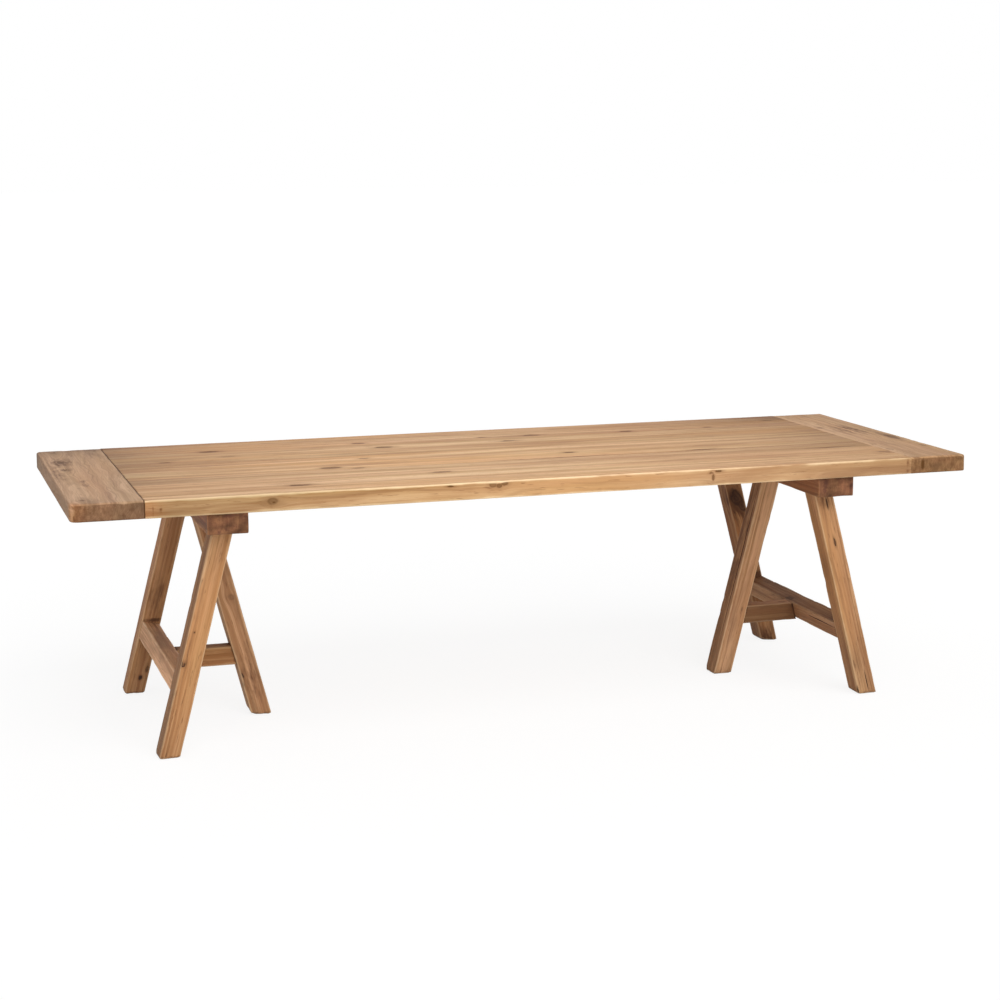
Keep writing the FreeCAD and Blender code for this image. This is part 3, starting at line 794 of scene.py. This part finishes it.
# painted light on each beam's left face, which the lamps leave too dark
BEAM_LEFT_PAINTED_LIGHT = 0.32
BEAM_PATCHES = 0.8
BEAM_PATCH_LENGTHS = (0.04, 0.3, 0.025)
BEAM_PATCH_SEEDS = {"left": 361, "right": 362}
for trestle, side in SIDES.items():
    low, high = (np.array(corner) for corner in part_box(trestle + "_beam"))
    mortises = []
    for y, spread in LEGS.values():
        mouth = level_cut(*LEG_TENON, spread) + MORTISE_PLAY
        mortises.append((Z, UPPER, (leg_x(side, spread, BEAM_HEIGHT), y), mouth, MORTISE_SHOWN, False))
    surface = timber(low, high, Y, BEAM_STEPS, BEAM_CROWD, (BEAM_ARRIS,) * 3, BEAM_SEEDS[trestle],
                     stains=BEAM_STAINS_AND_SHADE[trestle], pockets=mortises)
    points = surface[0]
    tint = np.tile(BEAM_TINT, (len(points), 1))
    # painted light on the left face
    tint[:, 0] += BEAM_LEFT_PAINTED_LIGHT * (points[:, 0] < low[0] + BEAM_ARRIS)
    tint[:, 0] += BEAM_PATCHES * (waves(points, BEAM_PATCH_LENGTHS, BEAM_PATCH_SEEDS[trestle]) - 0.5)
    wooden_piece(trestle + "_beam", trestle + "_trestle", surface, tint, beam_pine)

# Boards of the top. Six wide old pine boards, planed and brushed, glued edge to edge, tongued at both ends.
# Only the two outer boards have a rounded outer arris; at the glue joints the edges are just eased.
BOARD_STEPS = (0.012, 0.006, 0.006)
BOARD_UNEVEN = 0.3
BOARD_SEEDS = (420, 411, 421, 431, 441, 451)
TOP_ARRIS = 0.007
TOP_CROWD = TOP_ARRIS * 1.2
UNDER_ARRIS = 0.004
OUTER_REACH = 0.03
JOINT_EASE = 0.0008
JOINT_CROWD = 0.002
JOINT_REACH = 0.001
END_GAP = 0.0004
LEFT_JOINT = -1.150
RIGHT_JOINT = 1.165
TOP_MIDDLE = 0.735
TOP_FRONT = -0.500
DOWEL_HOLE = 0.0105
DOWEL_HOLE_DEPTH = 0.017
DOWEL_Y = 0.1815
top_pine = wood_finish(
    "top_pine", pale=colour(234, 198, 156), brown=colour(192, 150, 111), honey=colour(220, 172, 122),
    stain=colour(148, 108, 78), knot=colour(98, 66, 38), worn_and_highlight=colour(254, 224, 182),
    bands=55, wander=0.03, curl=0.004, streaks=(46.0, 14.0),
    threads=0.55, lines=0.5, cloud=0.3, specks=0.6, rub_and_highlight=0.9, ends=0.3,
)

# knots of the upper faces: x, y, two half sizes and a tone
KNOT_DEPTH = 0.020
TOP_KNOTS = [
    (-0.834, 0.316, 0.03, 0.014, 0.8), (-0.356, 0.334, 0.022, 0.012, 0.7),
    (-0.301, 0.23, 0.028, 0.014, 0.8), (-1.0, 0.141, 0.022, 0.008, 0.6), (-0.41, 0.03, 0.018, 0.009, 0.6),
    (-0.549, -0.116, 0.028, 0.015, 0.8), (-0.47, -0.144, 0.02, 0.009, 0.5),
    (-0.699, -0.384, 0.03, 0.014, 0.85), (-0.256, -0.294, 0.026, 0.01, 0.7),
    (0.216, -0.059, 0.02, 0.012, 0.9), (0.216, 0.327, 0.034, 0.016, 0.7),
    (0.109, 0.234, 0.034, 0.014, 0.6), (0.059, 0.334, 0.016, 0.008, 0.7),
    (0.547, 0.309, 0.022, 0.011, 0.8), (0.841, 0.309, 0.016, 0.008, 0.6),
    (0.63, -0.14, 0.045, 0.008, 0.8), (1.144, -0.359, 0.022, 0.01, 0.6), (1.1, 0.391, 0.018, 0.009, 0.5),
    (-0.8, 0.2, 0.022, 0.01, 0.3),
]
EDGE_KNOTS = [
    (-0.797, TOP_FRONT, 0.737, 0.01, 0.015, 0.007, 1.0),
    (-0.8, TOP_FRONT, 0.739, 0.024, 0.03, 0.011, 0.5),
    (-0.289, TOP_FRONT, 0.7525, 0.011, 0.015, 0.003, 1.0),
    (-0.166, TOP_FRONT, 0.75, 0.012, 0.012, 0.008, 0.6),
    (-0.146, TOP_FRONT, 0.746, 0.009, 0.012, 0.007, 0.7),
    (-0.131, TOP_FRONT, 0.751, 0.012, 0.012, 0.006, 0.7),
    (0.531, TOP_FRONT, 0.7525, 0.013, 0.02, 0.0035, 0.9),
    (0.508, TOP_FRONT, 0.748, 0.008, 0.015, 0.003, 0.7),
    (0.513, TOP_FRONT, 0.734, 0.004, 0.012, 0.012, 0.7),
]
EDGE_STAINS = [
    (-1.107, TOP_FRONT, 0.738, 0.005, 0.006, 0.03, 0.9),
    (-1.128, TOP_FRONT, 0.735, 0.003, 0.006, 0.04, 0.7),
    (1.152, TOP_FRONT, 0.735, 0.006, 0.006, 0.05, 0.6),
]
TOP_STREAKS = [
    (0.11, -0.146, 0.76, 0.26, 0.006, 0.02, 0.75), (1.03, -0.232, 0.76, 0.11, 0.014, 0.02, 0.6),
    (1.14, -0.39, 0.76, 0.05, 0.016, 0.02, 0.5), (-1.0, 0.172, 0.76, 0.15, 0.008, 0.02, 0.5),
]
LEFT_JOINT_DIRT = (0.005, 9.0, 0.1, 0.5)
JOINT_CRACKS = [
    (0.45, -0.155, 0.76, 0.72, 0.0014, 0.01, 0.0004), (-1.0, 0.08, 0.76, 0.3, 0.001, 0.01, 0.0004),
]

# tints of the upper faces and of the long edges, with what is added towards the ends and at one corner; the
# boards are lighter in the middle and darker towards both ends, partly painted light and shade and partly
# the older ends' own colour
BOARD_TINTS = [
    (0.0, 0.0, 0.0), (-0.07, 0.0, 0.0), (-0.01, 0.0, -0.02), (-0.11, 0.0, -0.02), (-0.16, -0.1, -0.02),
    (-0.19, -0.2, -0.04),
]
MIDDLE_LIGHTNESS = 0.12
END_PAINTED_SHADE_AND_AGE = 0.22
RIGHT_DARKENING = (0.0, 0.18, 0.27, 0.10, 0.14, 0.24)
LEFT_DARKENING = 0.25
TOP_RIGHT_TINT = (-0.03, -0.2, -0.08)
TOP_LEFT_TINT = (0.0, -0.18, -0.04)
EDGE_TINT = (-0.22, 0.0, -0.08)
EDGE_RIGHT_TINT = (0.08, -0.1, 0.0)
EDGE_LEFT_TINT = (-0.20, -0.1, -0.12)
EDGE_CORNER_TINT = (0.16, -0.5, -0.05)
EDGE_CORNER_REACH = 0.045
EDGE_REACH = 0.004
EDGE_BLEND = 0.003
# how far the rubbed arris and its painted highlight fade at the right end
RIGHT_RUB_AND_HIGHLIGHT = 0.35


def outer_edges(box):
    """Radius of a board's long edges: broad on the table's front and back, most on top, else just eased."""
    outside = np.abs(box[:, 1]) > -TOP_FRONT - OUTER_REACH
    return np.where(outside, np.where(box[:, 2] > TOP_MIDDLE, TOP_ARRIS, UNDER_ARRIS), JOINT_EASE)


for index, seed in enumerate(BOARD_SEEDS):
    node = "top_board_" + str(index + 1)
    low, high = (np.array(corner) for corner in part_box(node))
    low[0] = LEFT_JOINT + END_GAP
    high[0] = RIGHT_JOINT - END_GAP
    is_outer = index in (0, len(BOARD_SEEDS) - 1)
    knots = [
        (x, y, high[2], long, wide, KNOT_DEPTH, tone)
        for x, y, long, wide, tone in TOP_KNOTS if low[1] < y < high[1]
    ]
    cracks = [mark for mark in JOINT_CRACKS if low[1] - JOINT_REACH < mark[1] < high[1] + JOINT_REACH]
    stains = [mark for mark in TOP_STREAKS if low[1] < mark[1] < high[1]]
    if index == 0:
        knots += EDGE_KNOTS
        stains += EDGE_STAINS
    stains.append((LEFT_JOINT, 0.0, high[2], *LEFT_JOINT_DIRT))
    holes = [
        (Z, UNDER, (side * TRESTLE_X, y), (DOWEL_HOLE, DOWEL_HOLE), DOWEL_HOLE_DEPTH, True)
        for side in SIDES.values() for y in (-DOWEL_Y, DOWEL_Y) if low[1] < y < high[1]
    ]
    surface = timber(low, high, X, BOARD_STEPS, TOP_CROWD if is_outer else JOINT_CROWD,
                     (outer_edges, JOINT_EASE, JOINT_EASE), seed, knots, cracks, stains, holes, BOARD_UNEVEN)
    points, _, fields = surface
    on_edge = np.clip((np.abs(points[:, 1]) + TOP_FRONT + EDGE_REACH) / EDGE_BLEND, 0, 1)[:, None]
    towards_end = points[:, :1] / RIGHT_JOINT
    right = np.clip(towards_end, 0, 1)
    left = np.clip(-towards_end, 0, 1)
    at_corner = np.exp(-((points[:, :1] - LEFT_JOINT) / EDGE_CORNER_REACH) ** 2)
    face_tint = BOARD_TINTS[index] + right * TOP_RIGHT_TINT + left * TOP_LEFT_TINT
    edge_tint = EDGE_TINT + right * EDGE_RIGHT_TINT + left * EDGE_LEFT_TINT + at_corner * EDGE_CORNER_TINT
    tint = (1 - on_edge) * face_tint + on_edge * edge_tint
    # painted pool of light: lighter in the middle and darker towards both ends, with some of the ends' own
    # darker colour
    tint[:, :1] += MIDDLE_LIGHTNESS - END_PAINTED_SHADE_AND_AGE * towards_end ** 2
    tint[:, :1] -= RIGHT_DARKENING[index] * right ** 2 * (1 - on_edge)
    if index > 0:
        tint[:, :1] -= LEFT_DARKENING * left ** 6
    # the rubbed arris and its painted highlight fade towards the right end
    fields["wear_and_painted_light"][:, :1] *= 1 - RIGHT_RUB_AND_HIGHLIGHT * right
    wooden_piece(node, "top", surface, tint, top_pine)

# End boards. One darker, more weathered pine board set across each end of the top, slipped over the boards'
# tongues and pegged from below, with rounded outer corners.
END_STEPS = (0.006, 0.010, 0.006)
END_UNEVEN = 0.35
END_SEEDS = {"left": 501, "right": 511}
CORNER_RADIUS = {"left": 0.025, "right": 0.013}
END_ROLL = 0.012
PEG_X = {"left": -1.1721, "right": 1.1871}
PEG_Y = (-0.3525, -0.0375, 0.3225)
PEG_HOLE = 0.0062
PEG_HOLE_DEPTH = 0.001
end_pine = wood_finish(
    "end_pine", pale=colour(200, 164, 134), brown=colour(168, 134, 106), honey=colour(190, 150, 114),
    stain=colour(106, 77, 58), knot=colour(86, 58, 38), worn_and_highlight=colour(206, 172, 140),
    bands=50, wander=0.10, curl=0.07, streaks=(14.0, 50.0),
    threads=0.6, lines=0.45, cloud=0.6, specks=0.3, rub_and_highlight=0.05, ends=0.9,
)
END_KNOTS = {
    "left": [
        (-1.2985, 0.25, 0.76, 0.01, 0.024, 0.02, 0.2), (-1.31, -0.437, 0.76, 0.006, 0.012, 0.02, 0.5),
        (-1.336, -0.494, 0.755, 0.008, 0.012, 0.006, 0.7),
    ],
    "right": [
        (1.323, -0.076, 0.76, 0.01, 0.04, 0.02, 0.6), (1.322, -0.287, 0.76, 0.006, 0.02, 0.02, 0.4),
        (1.187, 0.17, 0.76, 0.008, 0.014, 0.02, 0.4),
    ],
}
END_CRACKS = {
    "left": [(LEFT_JOINT, 0.0, 0.735, 0.0032, 9.0, 0.2, 0.0)],
    "right": [(1.2025, -0.50, 0.736, 0.008, 0.02, 0.022, 0.0)],
}
END_STAINS = {
    "left": [
        (LEFT_JOINT, 0.0, 0.735, 0.006, 9.0, 0.2, 0.6), (-1.298, 0.24, 0.76, 0.04, 0.08, 0.05, 0.65),
        (-1.297, 0.09, 0.76, 0.03, 0.06, 0.05, 0.62), (-1.27, -0.14, 0.76, 0.02, 0.09, 0.05, 0.7),
        (-1.3, -0.5, 0.738, 0.03, 0.02, 0.012, 0.7), (-1.325, 0.0, 0.76, 0.02, 0.3, 0.03, 0.5),
        (-1.352, 0.0, 0.735, 0.012, 0.8, 0.04, 0.3), (-1.2, -0.5, 0.722, 0.035, 0.02, 0.012, 0.6),
        (-1.25, -0.5, 0.7105, 0.1, 0.02, 0.004, 0.7),
    ],
    "right": [
        (1.315, -0.1, 0.76, 0.02, 0.16, 0.05, 0.65), (1.27, 0.1, 0.76, 0.06, 0.14, 0.05, 0.62),
        (1.182, -0.5, 0.735, 0.016, 0.02, 0.05, 0.7), (1.25, -0.5, 0.748, 0.05, 0.02, 0.006, 0.6),
        (1.301, -0.5, 0.735, 0.003, 0.02, 0.03, 0.7), (1.322, -0.5, 0.735, 0.004, 0.02, 0.03, 0.8),
        (1.25, -0.5, 0.7105, 0.1, 0.02, 0.004, 0.7),
    ],
}
END_TINTS = {"left": (0.04, 0.0, -0.02), "right": (0.05, 0.1, -0.08)}
BACK_SHADE = {"left": -0.48, "right": 0.0}
FRONT_TINT = {"left": (-0.16, 0.0, -0.08), "right": (-0.01, 0.0, -0.10)}
FRONT_REACH = 0.012
FRONT_BLEND = 0.009
FRONT_PATCHES = 0.35
FRONT_PATCH_LENGTHS = (0.05, 0.3, 0.03)
FRONT_PATCH_SEEDS = {"left": 521, "right": 522}
OUTSIDE_TINT = (-0.24, 0.0, -0.08)
OUTSIDE_REACH = 0.003
CORNER_TINT = (0.28, -0.3, -0.14)
CORNER_REACH = 0.042
SAPWOOD_WIDTH = 0.024
SAPWOOD_BLEND = 0.004
SAPWOOD_LIGHTNESS = 0.06
for name, side in SIDES.items():
    node = name + "_end_board"
    low, high = (np.array(corner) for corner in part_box(node))
    middle = side * (low[0] + high[0]) / 2

    def long_edges(box):
        """Radius of the edges along the end board: broad outside, just eased at the joint."""
        outside = box[:, 0] * side > middle
        return np.where(outside, np.where(box[:, 2] > TOP_MIDDLE, TOP_ARRIS, UNDER_ARRIS), JOINT_EASE)

    def short_edges(box):
        """Radius of the edges across the end board's own ends: upper wider than under."""
        return np.where(box[:, 2] > TOP_MIDDLE, END_ROLL, UNDER_ARRIS)

    def upright_edges(box):
        """Radius of the upright edges: broad at the table's corners, just eased at the joint."""
        return np.where(box[:, 0] * side > middle, CORNER_RADIUS[name], JOINT_EASE)

    holes = [(Z, UNDER, (PEG_X[name], y), (PEG_HOLE, PEG_HOLE), PEG_HOLE_DEPTH, True) for y in PEG_Y]
    surface = timber(low, high, Y, END_STEPS, TOP_CROWD, (short_edges, long_edges, upright_edges),
                     END_SEEDS[name], END_KNOTS[name], END_CRACKS[name], END_STAINS[name], holes, END_UNEVEN)
    points = surface[0]
    tint = np.tile(END_TINTS[name], (len(points), 1))
    tint[:, 0] += BACK_SHADE[name] * np.clip(points[:, 1] / high[1], 0, 1) ** 4
    on_front = np.clip((low[1] + FRONT_REACH - points[:, 1]) / FRONT_BLEND, 0, 1)
    patches = waves(points, FRONT_PATCH_LENGTHS, FRONT_PATCH_SEEDS[name]) - 0.5
    tint += on_front[:, None] * FRONT_TINT[name]
    tint[:, 0] += on_front * FRONT_PATCHES * patches
    outside = points[:, 0] * side > max(low[0] * side, high[0] * side) - OUTSIDE_REACH
    tint += outside[:, None] * np.array(OUTSIDE_TINT)
    if name == "right":
        sapwood = np.clip((RIGHT_JOINT + SAPWOOD_WIDTH - points[:, 0]) / SAPWOOD_BLEND, 0, 1)
        tint[:, 0] += SAPWOOD_LIGHTNESS * sapwood
    else:
        from_corner = np.hypot(points[:, 0] - low[0], points[:, 1] - low[1]) / CORNER_REACH
        tint += np.exp(-from_corner ** 2)[:, None] * CORNER_TINT
    wooden_piece(node, "top", surface, tint, end_pine)

# Small joinery. Loose splines between the boards, pegs up into the end boards, wedges in the leg tenons and
# the dowels that locate the top: bare wood, mostly hidden, which keeps the meshes of the frame.
BARE_FIBRE = (300.0, 300.0, 25.0)
BARE_CLOUD = (25.0, 25.0, 12.0)
BARE_CLOUD_SHARE = 0.5
BARE_PALE = colour(206, 170, 124)
BARE_BROWN = colour(168, 128, 86)
BARE_STAIN = colour(140, 102, 68)
BARE_ROUGHNESS = 0.60
BARE_FIBRE_ROUGHNESS = 0.15
bare_wood = bpy.data.materials.new("bare_wood")
start = fresh(bare_wood)
place = start.node("TexCoord", {}, {}, "Object")
fibre = place.noise(BARE_FIBRE, 3.0)
cloud = place.noise(BARE_CLOUD, 3.0)
shade = fibre.between(0.35, 0.68).mix(BARE_PALE, BARE_BROWN)
shade = (cloud.between(0.45, 0.7) * BARE_CLOUD_SHARE).mix(shade, BARE_STAIN)
rough = BARE_ROUGHNESS + fibre * BARE_FIBRE_ROUGHNESS
coat(start, shade, rough, fibre, bumpiness=0.3, bump_depth=0.0005, sheen=0.25)
for node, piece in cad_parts.items():
    if node.endswith(("_wedges", "_dowels", "_pegs")) or "spline" in node:
        piece.data.materials.clear()
        piece.data.materials.append(bare_wood)

# Floor. A wide plain white floor that keeps the table's faint soft shadow. It glows nearly white where it is
# seen, and is plain matt paint for the light that bounces off it.
FLOOR_REACH = 60.0
FLOOR_CORNERS = ((-1, -1), (1, -1), (1, 1), (-1, 1))
FLOOR_SEEN = (0.16, 0.16, 0.16, 1.0)
FLOOR_BOUNCE = (0.8, 0.8, 0.8, 1.0)
FLOOR_GLOW = 0.86
WHITE = (1.0, 1.0, 1.0, 1.0)


def background_rays(start):
    """1 for rays that show the background, straight or by sheen or glass, and 0 for those of light alone."""
    camera, glossy, through = [
        start.node("LightPath", {}, {}, "Is " + kind + " Ray")
        for kind in ("Camera", "Glossy", "Transmission")
    ]
    return camera + glossy + through


floor_mesh = bpy.data.meshes.new("floor")
floor_mesh.from_pydata([(x * FLOOR_REACH, y * FLOOR_REACH, 0) for x, y in FLOOR_CORNERS], [], [(0, 1, 2, 3)])
floor = in_scene("floor", floor_mesh)
floor_paint = bpy.data.materials.new("floor_paint")
start = fresh(floor_paint)
shaded = start.node("BsdfDiffuse", {}, {"Color": FLOOR_SEEN})
glow = start.node("Emission", {}, {"Color": WHITE, "Strength": FLOOR_GLOW})
seen = start.node("AddShader", {}, {0: shaded, 1: glow})
bounce = start.node("BsdfDiffuse", {}, {"Color": FLOOR_BOUNCE})
paint = start.node("MixShader", {}, {0: background_rays(start), 1: bounce, 2: seen})
start.node("OutputMaterial", {}, {"Surface": paint})
floor_mesh.materials.append(floor_paint)

# Studio light. One wide soft light from above and in front, a second one lower from the front, and an even
# white room that lights every side and is pure white behind the table.
ROOM_LIGHT = 0.50
BACKDROP_LIGHT = 1.0
world = bpy.data.worlds.new("white_room")
bpy.context.scene.world = world
start = fresh(world)
room = start.node("Background", {}, {"Color": WHITE, "Strength": ROOM_LIGHT})
backdrop = start.node("Background", {}, {"Color": WHITE, "Strength": BACKDROP_LIGHT})
around = start.node("MixShader", {}, {0: background_rays(start), 1: room, 2: backdrop})
start.node("OutputWorld", {}, {"Surface": around})


def soft_light(name, towards, spread, strength):
    """Wide far light that comes from a direction, spread over an angle in degrees."""
    lamp = bpy.data.lights.new(name, "SUN")
    lamp.angle = math.radians(spread)
    lamp.energy = strength
    in_scene(name, lamp).matrix_world = Vector(towards).to_track_quat("Z", "Y").to_matrix().to_4x4()


soft_light("key_light", towards=(0.15, -0.62, 0.77), spread=50, strength=1.35)
soft_light("front_light", towards=(0.08, -0.96, 0.26), spread=40, strength=1.0)

# Camera. A long lens at standing height, in front of the table and to its left, turned to the right and a
# little down.
CAMERA_PLACE = (-1.8807, -6.0003, 1.7290)
CAMERA_YAW = -0.3052
CAMERA_PITCH = -0.1760
CAMERA_ROLL = 0.0043
CAMERA_SENSOR = 36.0
CAMERA_LENS = 74.083
CAMERA_SHIFT = (0.0011, 0.0005)
CAMERA_REACH = 200.0
camera_lens = bpy.data.cameras.new("camera")
camera_lens.sensor_width = CAMERA_SENSOR
camera_lens.lens = CAMERA_LENS
camera_lens.shift_x, camera_lens.shift_y = CAMERA_SHIFT
camera_lens.clip_end = CAMERA_REACH
camera = in_scene("camera", camera_lens)
camera.matrix_world = (
    Matrix.Translation(CAMERA_PLACE)
    @ Matrix.Rotation(CAMERA_YAW, 4, "Z")
    @ Matrix.Rotation(math.pi / 2 + CAMERA_PITCH, 4, "X")
    @ Matrix.Rotation(-CAMERA_ROLL, 4, "Z")
)
bpy.context.scene.camera = camera
bpy.context.scene.view_settings.view_transform = "Standard"
